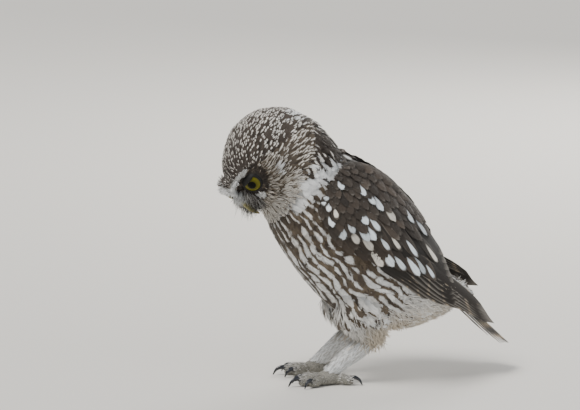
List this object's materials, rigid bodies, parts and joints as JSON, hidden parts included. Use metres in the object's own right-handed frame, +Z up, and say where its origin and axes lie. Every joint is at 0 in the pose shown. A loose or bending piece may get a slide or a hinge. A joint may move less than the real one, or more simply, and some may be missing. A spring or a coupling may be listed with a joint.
{
  "type": "little owl",
  "caption": "Small owl standing on both feet, head bent down and turned to its left, wings folded and tail down: a still, life-size figure.",
  "frame": {"origin": "on the floor, under the middle of the whole bird's box", "axes": "-X the way the body faces, -Y the bird's left side, +Z up"},
  "size_m": [0.2008, 0.0954, 0.1854],
  "materials": {
    "head_plumage": "dark brown feathers with white streaks",
    "body_plumage": "white feathers with brown streaks",
    "wing_plumage": "dark brown feathers with white spots",
    "tail_plumage": "dark brown feathers with pale bars",
    "leg_plumage": "short white feathers",
    "toe_skin": "grey scaled skin with short bristles",
    "claw_horn": "bluish black horn",
    "bill_horn": "olive yellow horn",
    "eye": "wet surface, yellow iris and black pupil"
  },
  "bodies": {
    "root": {"bill_lower": "bill_horn", "bill_upper": "bill_horn", "claw_left_1": "claw_horn", "claw_left_2": "claw_horn", "claw_left_3": "claw_horn", "claw_left_4": "claw_horn", "claw_right_1": "claw_horn", "claw_right_2": "claw_horn", "claw_right_3": "claw_horn", "claw_right_4": "claw_horn", "eye_left": "eye", "eye_right": "eye", "foot_left": "toe_skin", "foot_right": "toe_skin", "head": "head_plumage", "neck": "head_plumage", "shank_left": "leg_plumage", "shank_right": "leg_plumage", "tail": "tail_plumage", "thigh_left": "leg_plumage", "thigh_right": "leg_plumage", "toe_left_1": "toe_skin", "toe_left_2": "toe_skin", "toe_left_3": "toe_skin", "toe_left_4": "toe_skin", "toe_right_1": "toe_skin", "toe_right_2": "toe_skin", "toe_right_3": "toe_skin", "toe_right_4": "toe_skin", "torso": "body_plumage", "wing_left": "wing_plumage", "wing_right": "wing_plumage"}
  },
  "joints": []
}
